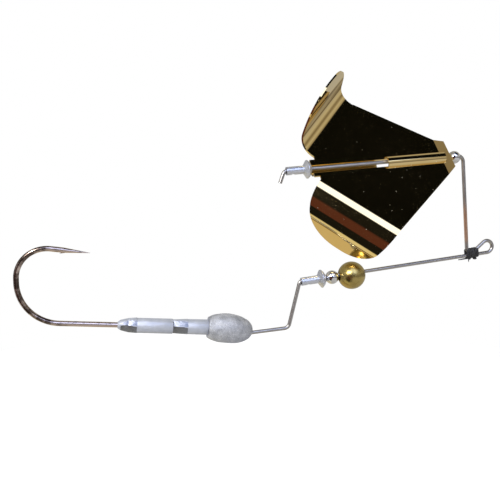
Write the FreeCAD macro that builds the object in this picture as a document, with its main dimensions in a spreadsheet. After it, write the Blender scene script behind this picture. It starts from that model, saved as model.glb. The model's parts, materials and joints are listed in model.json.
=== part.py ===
import FreeCAD, Part
import math
import os

import Sketcher

# A buzzbait: a safety-pin shaped wire frame with a leaded hook on its lower end, a stamped
# two-winged blade that turns on its upper shaft, and a loose brass clacker on its lower arm.
#
# Row frame, in millimetres: the origin is the centre of the line-tie eye. +X points the way the
# line pulls, +Z is up, and the bent wire and the hook lie in the plane Y = 0.

DOC = FreeCAD.newDocument("buzzbait")

# The driving dimensions. Lengths are millimetres, names that end in _slope, _lean, _fold or
# _tilt are degrees.
SIZES = [
    ("wire_dia", 1.05, "stainless wire of the frame"),
    ("eye_bend", 1.8, "line-tie eye, pin centre to wire centre"),
    ("arm_slope", 6.5, "lower arm, rising to the eye"),
    ("arm_end_x", -57.9, "where the arm leaves the riser bend"),
    ("riser_bend", 1.0, "bend at the top of the riser"),
    ("riser_foot_x", -63.2, "pin of the bend at the riser's foot"),
    ("riser_foot_z", -20.15, "pin of the bend at the riser's foot"),
    ("foot_bend", 1.6, "bend at the riser's foot"),
    ("leg_x", -81.6, "short leg that drops through the hook's eye"),
    ("leg_top_z", -18.6, "cut end of that leg, inside the lead"),
    ("leg_pin_z", -21.58, "pin of the bend under the hook's eye"),
    ("leg_bend", 1.4, "bend under the hook's eye"),
    ("lashed_pitch", 1.2, "arm to the eye's return leg, under the lashing"),
    ("return_x", -4.5, "pin where the return leg levels out"),
    ("return_bend", 1.2, "bend where the return leg levels out"),
    ("upright_x", -5.7, "pin at the foot of the upright"),
    ("upright_bend", 1.0, "bend at the foot of the upright"),
    ("top_pin_x", -10.9, "pin of the bend at the top of the upright"),
    ("top_bend", 1.9, "bend at the top of the upright"),
    ("shaft_x", -55.5, "start of the blade on the shaft"),
    ("shaft_z", 22.9, "start of the blade on the shaft"),
    ("shaft_slope", 5.14, "blade shaft, rising forwards"),
    ("tail_pin_x", -62.5, "pin of the bend that keeps the rivet on"),
    ("tail_bend", 1.3, "bend that keeps the rivet on"),
    ("tail_end_x", -64.6, "cut end of the shaft"),
    ("tail_end_z", 18.9, "cut end of the shaft"),
    ("hook_dia", 1.4, "hook wire"),
    ("hook_x", -81.6, "hook eye centre"),
    ("hook_z", -20.5, "hook eye centre"),
    ("hook_slope", 4.51, "shank, rising towards the bend"),
    ("hook_eye_ring", 1.7, "hook eye, centre to wire centre"),
    ("hook_eye_dia", 1.2, "wire of the hook eye"),
    ("throat_x", -42.04, "centre of the lower half of the bend"),
    ("throat_bend", 11.0, "radius of the lower half of the bend"),
    ("crown_x", -45.6, "centre of the upper half of the bend"),
    ("crown_z", 11.77, "centre of the upper half of the bend"),
    ("crown_bend", 7.5, "radius of the upper half of the bend"),
    ("spear_x", -41.97, "where the point starts to taper"),
    ("spear_z", 19.08, "where the point starts to taper"),
    ("point_long", 6.6, "taper of the point"),
    ("point_flat", 0.04, "radius left at the tip"),
    ("barb_tip_x", -42.9, "tip of the barb"),
    ("barb_tip_z", 18.15, "tip of the barb"),
    ("barb_front_x", -39.9, "where the barb leaves the spear"),
    ("barb_front_z", 18.75, "where the barb leaves the spear"),
    ("barb_back_x", -41.9, "root of the barb's notch"),
    ("barb_back_z", 18.75, "root of the barb's notch"),
    ("barb_wide", 0.5, "barb, across the hook"),
    ("head_x", -79.8, "widest section of the lead head"),
    ("head_z", -21.0, "widest section of the lead head"),
    ("head_slope", 7.0, "head axis, dropping to the nose"),
    ("head_radius", 4.1, "lead head at its widest"),
    ("head_nose", 7.5, "widest section to the nose"),
    ("head_tail", 7.0, "half length of the ellipse behind the widest section"),
    ("head_back", 5.1, "widest section to the flat back"),
    ("head_flat", 3.62, "axis to the flat under the head"),
    ("collar_start", 3.45, "hook eye to the front end of the keeper"),
    ("collar_long", 24.0, "keeper along the shank"),
    ("collar_radius", 2.02, "keeper between its barbs"),
    ("collar_neck", 2.15, "keeper where it meets the head"),
    ("collar_lip", 0.8, "keeper at its thin end"),
    ("barb_rise", 0.14, "height of a keeper barb"),
    ("barb_one", 19.2, "step of the rear keeper barb, from the front end"),
    ("barb_two", 6.4, "step of the front keeper barb, from the front end"),
    ("barb_ramp", 3.9, "length of a keeper barb's ramp"),
    ("cone_shoulder", 2.15, "rear barb's step to the shoulder of the rear cone"),
    ("cone_radius", 1.8, "keeper at the shoulder of its rear cone"),
    ("scoop_deep", 1.5, "keeper axis to the facet under a barb"),
    ("scoop_tilt", 50, "facet, turned down from the keeper's side"),
    ("scoop_slope", 5, "facet, sloping along the shank"),
    ("rivet_long", 7.2, "rivet, tube end to dome"),
    ("rivet_tube", 2.3, "outside of the rivet's tube"),
    ("rivet_bore", 1.5, "bore of the rivet"),
    ("rivet_flange", 5.14, "across the rivet's flange"),
    ("rivet_rim", 5.85, "tube end to the flange's rim"),
    ("rivet_cone", 4.9, "tube end to the start of the flange"),
    ("rivet_edge", 0.2, "thickness of the flange's rim"),
    ("dome_low", 6.69, "tube end to the dome's outer ring"),
    ("dome_low_radius", 1.95, "dome's outer ring"),
    ("dome_high", 7.04, "tube end to the dome's inner ring"),
    ("dome_high_radius", 1.29, "dome's inner ring"),
    ("dent_radius", 0.9, "crimping tool"),
    ("dent_deep", 0.22, "depth of the crimp"),
    ("dent_at", 1.9, "tube end to the crimp"),
    ("rear_rivet_at", -7.4, "rear rivet's tube end along the shaft"),
    ("rear_rivet_hang", 0.1, "rear rivet's axis below the shaft"),
    ("front_bead_at", 43.6, "front bead along the shaft"),
    ("front_bead_hang", 0.4, "front bead's axis below the shaft"),
    ("front_bead_dia", 3.7, "front bead"),
    ("front_bead_bore", 2.0, "front bead's hole"),
    ("arm_rivet_at", 58.67, "lower rivet's tube end along the arm, from the eye"),
    ("arm_rivet_hang", 0.2, "lower rivet's axis below the arm"),
    ("arm_bead_gap", 0.08, "lower rivet to the chrome bead"),
    ("arm_bead_dia", 3.86, "chrome bead"),
    ("arm_bead_bore", 1.6, "chrome bead's hole"),
    ("arm_bead_hang", 0.25, "chrome bead's axis below the arm"),
    ("ball_gap", 0.06, "chrome bead to the brass ball"),
    ("ball_dia", 7.9, "brass clacker ball"),
    ("ball_bore", 2.2, "clacker ball's hole"),
    ("ball_hang", 0.55, "clacker ball's axis below the arm"),
    ("sheet_thick", 0.5, "blade sheet"),
    ("blade_lean", 37.7, "lower wing, leaning to -Y at rest"),
    ("root_a", 1.6, "fold root along the shaft"),
    ("root_w", 3.9, "fold root across the shaft"),
    ("corner_a", 19.1, "fold corner along the shaft"),
    ("corner_w", 22.5, "fold corner across the shaft"),
    ("nose_a", 41.66, "nose edge along the shaft"),
    ("nose_w", 4.6, "half width of the nose edge"),
    ("tongue_w", 2.9, "half width of the tongue between the fins"),
    ("fin_bend", 5.2, "fin bend, to the middle of the sheet"),
    ("fin_height", 16.0, "fin above the panel"),
    ("lobe_rear_x", 12.3, "centre of the fin's rear corner, along the fold"),
    ("lobe_rear_radius", 11.2, "rear corner of the fin"),
    ("lobe_front_x", 14.2, "centre of the fin's front corner, along the fold"),
    ("lobe_front_radius", 10.0, "front corner of the fin"),
    ("barrel_radius", 1.85, "outside of the pressed barrels"),
    ("barrel_split", 20.9, "where the barrel changes sides, along the shaft"),
    ("barrel_gap", 2.4, "window where the barrel changes sides"),
    ("barrel_drop", 0.45, "barrel axis, off the shaft towards the lower wing"),
    ("lip_long", 2.5, "bent lip at the nose"),
    ("lip_tilt", 27.0, "lip, bent towards the covered barrel"),
    ("lip_hole", 1.3, "hole for the shaft in the lip"),
    ("lashing_x", -5.2, "middle of the lashing"),
    ("lashing_long", 3.9, "lashing along the arm"),
    ("thread_build", 0.42, "thread built up over the wires"),
    ("knot_radius", 0.62, "knot under the lashing"),
    ("knot_at", 0.9, "knot, in front of the lashing's middle"),
    ("knot_sink", 0.31, "knot, pressed into the lashing"),
    ("tail_dia", 0.7, "thread tails"),
    ("tail_gap", 0.1, "long tail, below the arm"),
    ("tail_overlap", 0.5, "long tail, inside the lashing"),
    ("tail_long", 2.6, "long tail, behind the lashing"),
    ("stub_at", -0.8, "root of the short tail, from the lashing's middle"),
    ("stub_back", 0.3, "short tail, leaning back"),
    ("stub_long", 1.05, "short tail, hanging down"),
]


def make_sheet():
    sheet = DOC.addObject("Spreadsheet::Sheet", "sizes")
    for row, (alias, value, note) in enumerate(SIZES, start=1):
        sheet.set(f"A{row}", alias)
        sheet.set(f"B{row}", str(value))
        sheet.set(f"C{row}", note)
        sheet.setAlias(f"B{row}", alias)
    DOC.recompute()
    return sheet


SHEET = make_sheet()


def measure(expression):
    """Value of an expression in the sheet's aliases, such as 'sizes.wire_dia / 2'."""
    return float(SHEET.evalExpression(expression.replace("sizes.", "")))


def vector(x=0.0, y=0.0, z=0.0):
    return FreeCAD.Vector(x, y, z)


def turn(axis, degrees):
    return FreeCAD.Placement(vector(), FreeCAD.Rotation(axis, degrees))


def shift(x=0.0, y=0.0, z=0.0):
    return FreeCAD.Placement(vector(x, y, z), FreeCAD.Rotation())


X_AXIS = vector(x=1)
Y_AXIS = vector(y=1)
Z_AXIS = vector(z=1)

# Straight lines that several pieces share, as expressions.
ARM_DROP = "sizes.eye_bend / cos(sizes.arm_slope)"
SHAFT_RISE = "tan(sizes.shaft_slope)"


def below_shaft(pin_x, bend):
    """Height of a bend's pin at pin_x, so that the bend leaves the shaft smoothly."""
    return f"sizes.shaft_z + ({pin_x} - sizes.shaft_x) * {SHAFT_RISE} - {bend} / cos(sizes.shaft_slope)"


def beside_arm(pin_x, offset):
    """Height at pin_x of a line beside the arm, offset square to it, upwards positive."""
    return f"{pin_x} * tan(sizes.arm_slope) - {ARM_DROP} + ({offset}) / cos(sizes.arm_slope)"


# ---------------------------------------------------------------- sketches


def dimension(sketch, kind, where, expression):
    """Adds a dimension to the sketch and binds it to the sheet."""
    index = sketch.addConstraint(Sketcher.Constraint(kind, *where, measure(expression)))
    sketch.setExpression(f"Constraints[{index}]", expression)


def fix_point(sketch, geometry, end, place):
    origin = (-1, 1)
    dimension(sketch, "DistanceX", (*origin, geometry, end), place[0])
    dimension(sketch, "DistanceY", (*origin, geometry, end), place[1])


def leave(centre, radius, next_centre, next_radius):
    """Ends of the straight run between two bends. A radius is positive where the path turns
    left, negative where it turns right, and 0 at an end of the path."""
    across = next_centre[0] - centre[0]
    along = next_centre[1] - centre[1]
    heading = math.atan2(along, across) + math.asin((radius - next_radius) / math.hypot(across, along))
    side = (math.sin(heading), -math.cos(heading))
    start = vector(centre[0] + radius * side[0], centre[1] + radius * side[1])
    end = vector(next_centre[0] + next_radius * side[0], next_centre[1] + next_radius * side[1])
    return start, end


def bend_arc(centre, radius, arrive, depart):
    """Arc of one bend. Sketch arcs run anticlockwise, so a right turn is stored backwards."""
    first, last = (arrive, depart) if radius > 0 else (depart, arrive)
    angles = [math.atan2(p.y - centre[1], p.x - centre[0]) for p in (first, last)]
    if angles[1] < angles[0]:
        angles[1] += 2 * math.pi
    circle = Part.Circle(vector(*centre), Z_AXIS, abs(radius))
    return Part.ArcOfCircle(circle, *angles)


def draw_path(sketch, start, bends, end):
    """Straight runs joined by tangent bends. A bend is (x, y, radius, side) with side +1 for a
    left turn and -1 for a right turn; every value is an expression."""
    stops = [(measure(start[0]), measure(start[1]), 0.0)]
    stops += [(measure(x), measure(y), side * measure(radius)) for x, y, radius, side in bends]
    stops += [(measure(end[0]), measure(end[1]), 0.0)]
    ends = [leave(a[:2], a[2], b[:2], b[2]) for a, b in zip(stops, stops[1:])]
    runs = [sketch.addGeometry(Part.LineSegment(*pair)) for pair in ends]
    for i, (x, y, radius, side) in enumerate(bends):
        arc = sketch.addGeometry(bend_arc(stops[i + 1][:2], stops[i + 1][2], ends[i][1], ends[i + 1][0]))
        arrive, depart = (1, 2) if side > 0 else (2, 1)
        sketch.addConstraint(Sketcher.Constraint("Tangent", runs[i], 2, arc, arrive))
        sketch.addConstraint(Sketcher.Constraint("Tangent", runs[i + 1], 1, arc, depart))
        dimension(sketch, "Radius", (arc,), radius)
        fix_point(sketch, arc, 3, (x, y))
    fix_point(sketch, runs[0], 1, start)
    fix_point(sketch, runs[-1], 2, end)
    return runs


def draw_polygon(sketch, corners):
    """Closed outline through corners given as expressions."""
    points = [vector(measure(x), measure(y)) for x, y in corners]
    sides = [sketch.addGeometry(Part.LineSegment(a, b)) for a, b in zip(points, points[1:] + points[:1])]
    for here, after in zip(sides, sides[1:] + sides[:1]):
        sketch.addConstraint(Sketcher.Constraint("Coincident", here, 2, after, 1))
    for side, corner in zip(sides, corners):
        fix_point(sketch, side, 1, corner)
    return sides


def draw_circle(sketch, x, y, radius):
    circle = sketch.addGeometry(Part.Circle(vector(measure(x), measure(y)), Z_AXIS, measure(radius)))
    fix_point(sketch, circle, 3, (x, y))
    dimension(sketch, "Radius", (circle,), radius)


# ---------------------------------------------------------------- bodies and features


def new_body(name):
    body = DOC.addObject("PartDesign::Body", name)
    body.Label = name
    return body


def new_sketch(body, name, role):
    """Sketch on one of the body's own origin planes."""
    sketch = body.newObject("Sketcher::SketchObject", name)
    plane = next(f for f in body.Origin.OriginFeatures if f.Role == role)
    sketch.AttachmentSupport = [(plane, "")]
    sketch.MapMode = "FlatFace"
    return sketch


def loose_sketch(name, placement):
    sketch = DOC.addObject("Sketcher::SketchObject", name)
    sketch.Placement = placement
    return sketch


def sweep(body, name, profile, spine):
    DOC.recompute()
    pipe = body.newObject("PartDesign::AdditivePipe", name)
    pipe.Profile = profile
    pipe.Spine = (spine, [f"Edge{i + 1}" for i in range(len(spine.Shape.Edges))])
    DOC.recompute()
    return pipe


def revolve(body, name, sketch, axis):
    feature = body.newObject("PartDesign::Revolution", name)
    feature.Profile = sketch
    feature.ReferenceAxis = (sketch, [axis])
    feature.Angle = 360
    DOC.recompute()
    return feature


def primitive(kind, name, sizes, placement=None):
    """Part primitive whose sizes are bound to the sheet."""
    item = DOC.addObject(kind, name)
    for prop, expression in sizes.items():
        item.setExpression(prop, expression)
    if placement:
        item.Placement = placement
    return item


def combine(kind, name, shapes, placement=None):
    """MultiFuse or MultiCommon of shapes."""
    item = DOC.addObject(kind, name)
    item.Shapes = shapes
    if placement:
        item.Placement = placement
    return item


def cut(name, base, tool, placement=None):
    item = DOC.addObject("Part::Cut", name)
    item.Base = base
    item.Tool = tool
    if placement:
        item.Placement = placement
    return item


def extrude(name, sketch, length, symmetric=True):
    item = DOC.addObject("Part::Extrusion", name)
    item.Base = sketch
    item.DirMode = "Normal"
    item.Solid = True
    item.Symmetric = symmetric
    item.setExpression("LengthFwd", length)
    return item


def label(item, name):
    item.Label = name
    return item


# ---------------------------------------------------------------- places on the shaft and the arm


def on_shaft(distance, hang):
    """Frame on the blade shaft: X along it, at a distance in front of the blade's tail."""
    slope = measure("sizes.shaft_slope")
    start = shift(measure("sizes.shaft_x"), 0, measure("sizes.shaft_z") - hang)
    return start * turn(Y_AXIS, -slope) * shift(distance)


def on_arm(distance, hang):
    """Frame on the lower arm: X along it, at a distance behind the eye's tangent point."""
    slope = measure("sizes.arm_slope")
    start = shift(0, 0, -measure(ARM_DROP) - hang)
    return start * turn(Y_AXIS, -slope) * shift(-distance)


# ---------------------------------------------------------------- wire frame


def wire_bends():
    """Pins that the wire is bent round, from the hook's eye to the rivet end of the shaft."""
    arm_pin = "sizes.arm_end_x"
    foot = ("sizes.riser_foot_x", "sizes.riser_foot_z", "sizes.foot_bend", 1)
    leg = ("sizes.leg_x + sizes.leg_bend", "sizes.leg_pin_z", "sizes.leg_bend", 1)
    riser = (arm_pin, beside_arm(arm_pin, "-sizes.riser_bend"), "sizes.riser_bend", -1)
    eye = ("0 * sizes.eye_bend", "0 * sizes.eye_bend", "sizes.eye_bend", 1)
    level = (
        "sizes.return_x",
        beside_arm("sizes.return_x", "sizes.lashed_pitch + sizes.return_bend"),
        "sizes.return_bend",
        -1,
    )
    upright = (
        "sizes.upright_x",
        beside_arm("sizes.upright_x", "sizes.lashed_pitch + sizes.upright_bend"),
        "sizes.upright_bend",
        -1,
    )
    top = ("sizes.top_pin_x", below_shaft("sizes.top_pin_x", "sizes.top_bend"), "sizes.top_bend", 1)
    tail = ("sizes.tail_pin_x", below_shaft("sizes.tail_pin_x", "sizes.tail_bend"), "sizes.tail_bend", 1)
    return [leg, foot, riser, eye, level, upright, top, tail]


def make_wire_frame():
    """One length of wire, bent round jig pins in a single plane."""
    body = new_body("wire_frame")
    route = new_sketch(body, "wire_route", "XZ_Plane")
    start = ("sizes.leg_x", "sizes.leg_top_z")
    draw_path(route, start, wire_bends(), ("sizes.tail_end_x", "sizes.tail_end_z"))
    section = new_sketch(body, "wire_section", "XY_Plane")
    section.AttachmentOffset = shift(z=measure("sizes.leg_top_z"))
    section.setExpression("AttachmentOffset.Base.z", "sizes.leg_top_z")
    draw_circle(section, "sizes.leg_x", "0 * sizes.leg_x", "sizes.wire_dia / 2")
    sweep(body, "wire_pipe", section, route)
    return body


# ---------------------------------------------------------------- hook


def make_hook():
    """Forged hook in its own frame: the eye at the origin, the shank along -X."""
    body = new_body("hook_wire")
    ring = new_sketch(body, "eye_section", "XZ_Plane")
    draw_circle(ring, "sizes.hook_eye_ring", "0 * sizes.hook_eye_ring", "sizes.hook_eye_dia / 2")
    revolve(body, "eye_ring", ring, "V_Axis")
    route = new_sketch(body, "hook_route", "XZ_Plane")
    zero = "0 * sizes.hook_dia"
    throat = ("sizes.throat_x", "sizes.throat_bend", "sizes.throat_bend", -1)
    crown = ("sizes.crown_x", "sizes.crown_z", "sizes.crown_bend", -1)
    spear = ("sizes.spear_x", "sizes.spear_z")
    runs = draw_path(route, ("-sizes.hook_eye_ring", zero), [throat, crown], spear)
    section = new_sketch(body, "shank_section", "YZ_Plane")
    section.AttachmentOffset = shift(z=-measure("sizes.hook_eye_ring"))
    section.setExpression("AttachmentOffset.Base.z", "-sizes.hook_eye_ring")
    draw_circle(section, zero, zero, "sizes.hook_dia / 2")
    sweep(body, "hook_pipe", section, route)
    point = make_point(route.Geometry[runs[-1]])
    place = shift(measure("sizes.hook_x"), 0, measure("sizes.hook_z"))
    place = place * turn(Y_AXIS, measure("sizes.hook_slope"))
    return label(combine("Part::MultiFuse", "hook", [body, point, make_barb()], place), "hook")


def make_point(spear):
    """Needle point on the end of the spear, in line with its last straight run."""
    start, end = (vector(p.x, 0, p.y) for p in (spear.StartPoint, spear.EndPoint))
    sizes = {"Radius1": "sizes.hook_dia / 2", "Radius2": "sizes.point_flat", "Height": "sizes.point_long"}
    cone = primitive("Part::Cone", "hook_point", sizes)
    cone.Placement = FreeCAD.Placement(end, FreeCAD.Rotation(Z_AXIS, end - start))
    return cone


def make_barb():
    sketch = loose_sketch("barb_profile", turn(X_AXIS, 90))
    ends = ("front", "tip", "back")
    draw_polygon(sketch, [(f"sizes.barb_{end}_x", f"sizes.barb_{end}_z") for end in ends])
    return extrude("hook_barb", sketch, "sizes.barb_wide")


# ---------------------------------------------------------------- keeper and head


def keeper_profile():
    """Half outline of the keeper: front end, two barbs that face it, and the thin rear end."""
    tall = "sizes.collar_radius + sizes.barb_rise"
    zero = "0 * sizes.collar_long"
    bore = "sizes.hook_dia / 2"
    return [
        (zero, bore),
        (zero, "sizes.collar_neck"),
        ("-sizes.barb_two", "sizes.collar_radius"),
        ("-sizes.barb_two", tall),
        ("-sizes.barb_two - sizes.barb_ramp", "sizes.collar_radius"),
        ("-sizes.barb_one", "sizes.collar_radius"),
        ("-sizes.barb_one", tall),
        ("-sizes.barb_one - sizes.cone_shoulder", "sizes.cone_radius"),
        ("-sizes.collar_long", "sizes.collar_lip"),
        ("-sizes.collar_long", bore),
    ]


def facet(name, step):
    """Slanting block that slices a flat under the -Y side of a keeper barb."""
    size = {"Length": "sizes.barb_ramp", "Width": "sizes.collar_radius * 4", "Height": "sizes.collar_radius"}
    lean = turn(X_AXIS, -measure("sizes.scoop_tilt"))
    drop = shift(-measure(step) - measure("sizes.barb_ramp"), -2 * measure("sizes.collar_radius"), 0)
    sink = shift(z=-measure("sizes.scoop_deep") - measure("sizes.collar_radius"))
    slope = turn(Y_AXIS, measure("sizes.scoop_slope"))
    return primitive("Part::Box", name, size, lean * drop * slope * sink)


def make_keeper():
    """Lead sleeve on the shank that a soft trailer is pushed over."""
    core = new_body("keeper_core")
    outline = new_sketch(core, "keeper_outline", "XZ_Plane")
    draw_polygon(outline, keeper_profile())
    revolve(core, "keeper_turned", outline, "H_Axis")
    facets = combine("Part::MultiFuse", "keeper_facets", [
        facet("rear_facet", "sizes.barb_one"),
        facet("front_facet", "sizes.barb_two"),
    ])
    place = shift(measure("sizes.hook_x"), 0, measure("sizes.hook_z"))
    place = place * turn(Y_AXIS, measure("sizes.hook_slope")) * shift(-measure("sizes.collar_start"))
    return label(cut("keeper_collar", core, facets, place), "keeper_collar")


def half_egg(name, length, low, high):
    """Part of an ellipsoid of turning, its long axis on local Z, between two latitudes."""
    sizes = {"Radius1": length, "Radius2": "sizes.head_radius", "Angle1": low, "Angle2": high}
    item = primitive("Part::Ellipsoid", name, sizes)
    item.Angle3 = 360
    return item


def make_head(inner):
    """Cast egg head. Its cavities are the pieces that it was cast round."""
    zero = "0 * sizes.head_nose"
    nose = half_egg("head_front", "sizes.head_nose", zero, "90 + 0 * sizes.head_nose")
    tail = half_egg("head_rear", "sizes.head_tail", "-asin(sizes.head_back / sizes.head_tail)", zero)
    egg = combine("Part::MultiFuse", "head_egg", [nose, tail])
    side = "4 * sizes.head_nose"
    base = primitive("Part::Box", "head_base", {"Length": side, "Width": side, "Height": side})
    half = measure(side) / 2
    base.Placement = shift(measure("sizes.head_flat"), -half, -half)
    blank = cut("head_blank", egg, base)
    blank.Placement = (
        shift(measure("sizes.head_x"), 0, measure("sizes.head_z"))
        * turn(Y_AXIS, measure("sizes.head_slope"))
        * turn(Y_AXIS, 90)
    )
    cores = combine("Part::MultiFuse", "head_cores", inner)
    return label(cut("lead_head", blank, cores), "lead_head")


# ---------------------------------------------------------------- rivets, beads and ball


def rivet_profile():
    """Half outline of a hollow rivet: tube, coned flange, thin rim and domed face."""
    zero = "0 * sizes.rivet_long"
    bore = "sizes.rivet_bore / 2"
    rim = "sizes.rivet_flange / 2"
    return [
        (zero, bore),
        (zero, "sizes.rivet_tube / 2"),
        ("sizes.rivet_cone", "sizes.rivet_tube / 2"),
        ("sizes.rivet_rim", rim),
        ("sizes.rivet_rim + sizes.rivet_edge", rim),
        ("sizes.dome_low", "sizes.dome_low_radius"),
        ("sizes.dome_high", "sizes.dome_high_radius"),
        ("sizes.rivet_long", bore + " + sizes.rivet_edge"),
        ("sizes.rivet_long", bore),
    ]


def make_rivet(name, place):
    """Hollow rivet, its tube end at the local origin and its dome along +X."""
    core = new_body(name + "_core")
    outline = new_sketch(core, name + "_outline", "XZ_Plane")
    draw_polygon(outline, rivet_profile())
    revolve(core, name + "_turned", outline, "H_Axis")
    sizes = {"Radius": "sizes.dent_radius", "Height": "2 * sizes.rivet_flange"}
    tool = primitive("Part::Cylinder", name + "_dent", sizes)
    down = measure("sizes.rivet_tube / 2 + sizes.dent_radius - sizes.dent_deep")
    tool.Placement = shift(measure("sizes.dent_at"), measure("sizes.rivet_flange"), -down) * turn(X_AXIS, 90)
    return label(cut(name, core, tool, place), name)


def make_bead(name, dia, bore, place):
    """Round bead with a through hole along its local X."""
    ball = primitive("Part::Sphere", name + "_ball", {"Radius": f"{dia} / 2"})
    drill = primitive("Part::Cylinder", name + "_drill", {"Radius": f"{bore} / 2", "Height": f"2 * {dia}"})
    drill.Placement = shift(-measure(dia)) * turn(Y_AXIS, 90)
    return label(cut(name, ball, drill, place), name)


def arm_stack():
    """Distances behind the eye of the chrome bead and the clacker ball."""
    bead = "sizes.arm_rivet_at - sizes.rivet_long - sizes.arm_bead_gap - sizes.arm_bead_dia / 2"
    ball = bead + " - sizes.arm_bead_dia / 2 - sizes.ball_gap - sizes.ball_dia / 2"
    return measure(bead), measure(ball)


def make_turning_pieces():
    bead_at, ball_at = arm_stack()
    rear = on_shaft(measure("sizes.rear_rivet_at"), measure("sizes.rear_rivet_hang"))
    front = on_shaft(measure("sizes.front_bead_at"), measure("sizes.front_bead_hang"))
    lower = on_arm(measure("sizes.arm_rivet_at"), measure("sizes.arm_rivet_hang"))
    return [
        make_rivet("rear_rivet", rear),
        make_rivet("clacker_rivet", lower),
        make_bead("front_bead", "sizes.front_bead_dia", "sizes.front_bead_bore", front),
        make_bead(
            "clacker_bead", "sizes.arm_bead_dia", "sizes.arm_bead_bore",
            on_arm(bead_at, measure("sizes.arm_bead_hang")),
        ),
        make_bead(
            "clacker_ball", "sizes.ball_dia", "sizes.ball_bore",
            on_arm(ball_at, measure("sizes.ball_hang")),
        ),
    ]


# ---------------------------------------------------------------- blade

# The blade's own frame: X along the shaft from the tail, Y across the upper wing, Z out of the
# flat panel on the side where the front barrel is pressed up.


def blade_outline():
    """Flat part of the blade, with its two folded fins left off."""
    wing = [
        ("0 * sizes.nose_a", "sizes.tongue_w"),
        ("sizes.root_a", "sizes.tongue_w"),
        ("sizes.root_a", "sizes.root_w"),
        ("sizes.corner_a", "sizes.corner_w"),
        ("sizes.nose_a", "sizes.nose_w"),
    ]
    return wing + [(a, f"-({w})") for a, w in reversed(wing)]


def make_panel():
    """Panel up to the lip's bend line, and the lip, both inside the same outline."""
    outline = loose_sketch("panel_outline", shift())
    draw_polygon(outline, blade_outline())
    slab = extrude("panel_slab", outline, "sizes.sheet_thick")
    block = {"Length": "2 * sizes.nose_a", "Width": "4 * sizes.corner_w", "Height": "2 * sizes.corner_w"}
    limit = primitive("Part::Box", "panel_limit", block)
    bend_at = measure("sizes.nose_a - sizes.lip_long * cos(sizes.lip_tilt)")
    limit.Placement = shift(bend_at, -2 * measure("sizes.corner_w"), -measure("sizes.corner_w"))
    panel = cut("panel_flat", slab, limit)
    thick = extrude("outline_block", outline, "4 * sizes.lip_long")
    strip = {"Length": "sizes.lip_long", "Width": "4 * sizes.nose_w", "Height": "sizes.sheet_thick"}
    lip = primitive("Part::Box", "lip_strip", strip)
    centre = shift(0, -2 * measure("sizes.nose_w"), -measure("sizes.sheet_thick") / 2)
    lip.Placement = shift(bend_at) * turn(Y_AXIS, -measure("sizes.lip_tilt")) * centre
    return [panel, combine("Part::MultiCommon", "nose_lip", [lip, thick])]


def fin_frame(side):
    """Frame of a fin: X along the fold from its root, Y outwards, Z up the fin."""
    fold = math.degrees(math.atan2(
        measure("sizes.corner_w - sizes.root_w"), measure("sizes.corner_a - sizes.root_a")))
    upper = shift(measure("sizes.root_a"), measure("sizes.root_w")) * turn(Z_AXIS, fold)
    return upper if side > 0 else turn(X_AXIS, 180) * upper


def draw_bend(sketch):
    """Section of a fin: a quarter bend and a flat, as thick as the sheet."""
    bend = measure("sizes.fin_bend")
    half = measure("sizes.sheet_thick / 2")
    top = measure("sizes.fin_height")
    centre = vector(0, bend)
    quarter = (-math.pi / 2, 0)
    outer = sketch.addGeometry(Part.ArcOfCircle(Part.Circle(centre, Z_AXIS, bend + half), *quarter))
    inner = sketch.addGeometry(Part.ArcOfCircle(Part.Circle(centre, Z_AXIS, bend - half), *quarter))
    left = sketch.addGeometry(Part.LineSegment(vector(0, half), vector(0, -half)))
    far = sketch.addGeometry(Part.LineSegment(vector(bend + half, bend), vector(bend + half, top)))
    cap = sketch.addGeometry(Part.LineSegment(vector(bend + half, top), vector(bend - half, top)))
    near = sketch.addGeometry(Part.LineSegment(vector(bend - half, top), vector(bend - half, bend)))
    joins = [(left, 2, outer, 1), (outer, 2, far, 1), (far, 2, cap, 1)]
    joins += [(cap, 2, near, 1), (near, 2, inner, 2), (inner, 1, left, 1)]
    for join in joins:
        sketch.addConstraint(Sketcher.Constraint("Coincident", *join))
    sketch.addConstraint(Sketcher.Constraint("Coincident", outer, 3, inner, 3))
    sketch.addConstraint(Sketcher.Constraint("PointOnObject", outer, 3, -2))
    for line in (left, far, near):
        sketch.addConstraint(Sketcher.Constraint("Vertical", line))
    sketch.addConstraint(Sketcher.Constraint("Horizontal", cap))
    sketch.addConstraint(Sketcher.Constraint("PointOnObject", left, 1, -2))
    sketch.addConstraint(Sketcher.Constraint("Horizontal", outer, 3, outer, 2))
    sketch.addConstraint(Sketcher.Constraint("Horizontal", inner, 3, inner, 2))
    dimension(sketch, "DistanceY", (-1, 1, outer, 3), "sizes.fin_bend")
    dimension(sketch, "Radius", (outer,), "sizes.fin_bend + sizes.sheet_thick / 2")
    dimension(sketch, "Radius", (inner,), "sizes.fin_bend - sizes.sheet_thick / 2")
    dimension(sketch, "DistanceY", (-1, 1, far, 2), "sizes.fin_height")


def draw_lobe(sketch):
    """Rounded outline of a fin, seen square to its flat."""
    foot = "-sizes.sheet_thick"
    zero = "0 * sizes.fin_height"
    fold_long = "sqrt((sizes.corner_a - sizes.root_a)^2 + (sizes.corner_w - sizes.root_w)^2)"
    rear_y = "sizes.fin_height - sizes.lobe_rear_radius"
    front_y = "sizes.fin_height - sizes.lobe_front_radius"
    rear = ("sizes.lobe_rear_x", rear_y, "sizes.lobe_rear_radius", -1)
    front = ("sizes.lobe_front_x", front_y, "sizes.lobe_front_radius", -1)
    runs = draw_path(sketch, (zero, foot), [rear, front], (fold_long, foot))
    start = vector(0, measure(foot))
    end = vector(measure(fold_long), measure(foot))
    close = sketch.addGeometry(Part.LineSegment(end, start))
    sketch.addConstraint(Sketcher.Constraint("Coincident", runs[-1], 2, close, 1))
    sketch.addConstraint(Sketcher.Constraint("Coincident", close, 2, runs[0], 1))


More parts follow.
